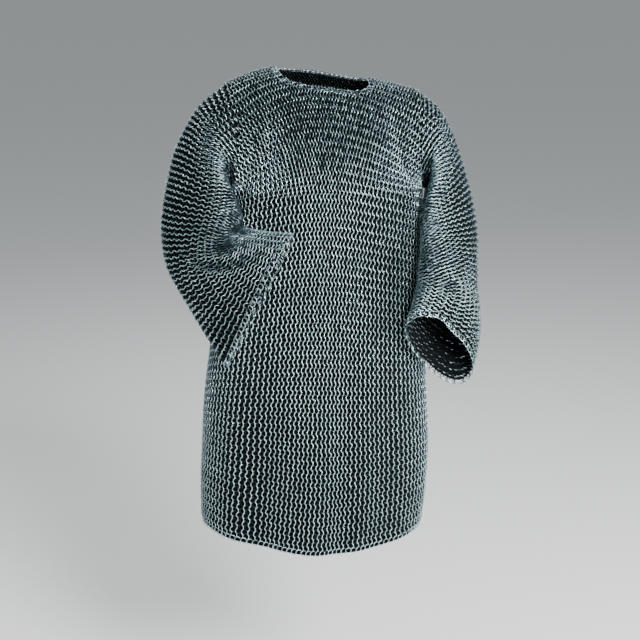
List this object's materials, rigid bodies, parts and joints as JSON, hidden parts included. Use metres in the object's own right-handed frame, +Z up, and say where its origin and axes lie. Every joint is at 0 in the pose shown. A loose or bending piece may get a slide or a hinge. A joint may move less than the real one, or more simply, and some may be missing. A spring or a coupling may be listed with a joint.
{
  "type": "chainmail hauberk",
  "caption": "Hollow T-cut mail shirt of linked steel rings, worn form, thigh length, with wide bent sleeves open at the cuffs.",
  "frame": {"origin": "middle of the neck opening on the shoulder line, where the wearer's shoulders hold the shirt up", "axes": "+X to the wearer's left, -Y to the front, +Z up"},
  "size_m": [0.6478, 0.3757, 0.9684],
  "materials": {
    "mail": "darkened steel wire rings, rubbed bright where they show"
  },
  "bodies": {
    "root": {"front": "mail", "back": "mail", "sleeve_right": "mail", "sleeve_left": "mail"}
  },
  "joints": []
}
